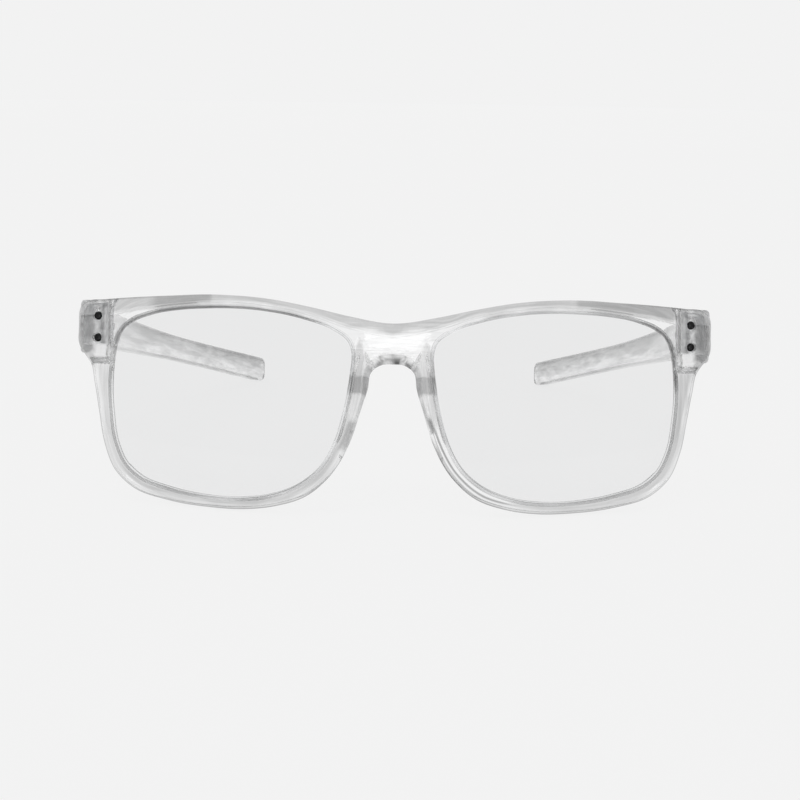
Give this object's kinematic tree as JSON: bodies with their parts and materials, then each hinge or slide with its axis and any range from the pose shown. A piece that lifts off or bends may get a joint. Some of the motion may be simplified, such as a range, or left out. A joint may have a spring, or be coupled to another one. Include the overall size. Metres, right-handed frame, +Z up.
{
  "type": "eyeglasses",
  "caption": "Clear plastic eyeglasses with plano lenses, moulded nose pads, riveted hinges and temples that fold inward behind the front.",
  "frame": {"origin": "centre of the footprint of the open glasses, on the surface they rest on", "axes": "+X to the wearer's left, +Y from the front towards the temple tips, +Z up as they rest"},
  "size_m": [0.147, 0.1604, 0.0474],
  "materials": {
    "frame_plastic": "clear, polished",
    "temple_plastic": "clear, lightly frosted",
    "lens": "clear, polished, faint grey tint",
    "rivet_metal": "black, semi-gloss",
    "hinge_plastic": "clear, moulded",
    "hinge_steel": "satin"
  },
  "bodies": {
    "front": {"front_frame": "frame_plastic", "lens_right": "lens", "lens_left": "lens", "front_hinge_leaf_right": "hinge_plastic", "front_hinge_leaf_left": "hinge_plastic", "hinge_screw_right": "hinge_steel", "hinge_screw_left": "hinge_steel", "front_rivet_right_1": "rivet_metal", "front_rivet_right_2": "rivet_metal", "front_rivet_left_1": "rivet_metal", "front_rivet_left_2": "rivet_metal"},
    "temple_right_arm": {"temple_right": "temple_plastic", "temple_hinge_leaf_right": "hinge_plastic", "temple_rivet_right_1": "rivet_metal", "temple_rivet_right_2": "rivet_metal"},
    "temple_left_arm": {"temple_left": "temple_plastic", "temple_hinge_leaf_left": "hinge_plastic", "temple_rivet_left_1": "rivet_metal", "temple_rivet_left_2": "rivet_metal"}
  },
  "joints": [
    {"name": "temple_right_fold", "type": "hinge", "parent": "front", "child": "temple_right_arm", "pos_m": [-0.0663, -0.05136, 0.03698], "axis": [0, -0.1659, -0.9861], "range_deg": [0, 80]},
    {"name": "temple_left_fold", "type": "hinge", "parent": "front", "child": "temple_left_arm", "pos_m": [0.0663, -0.05136, 0.03698], "axis": [0, 0.1659, 0.9861], "range_deg": [0, 74]}
  ]
}
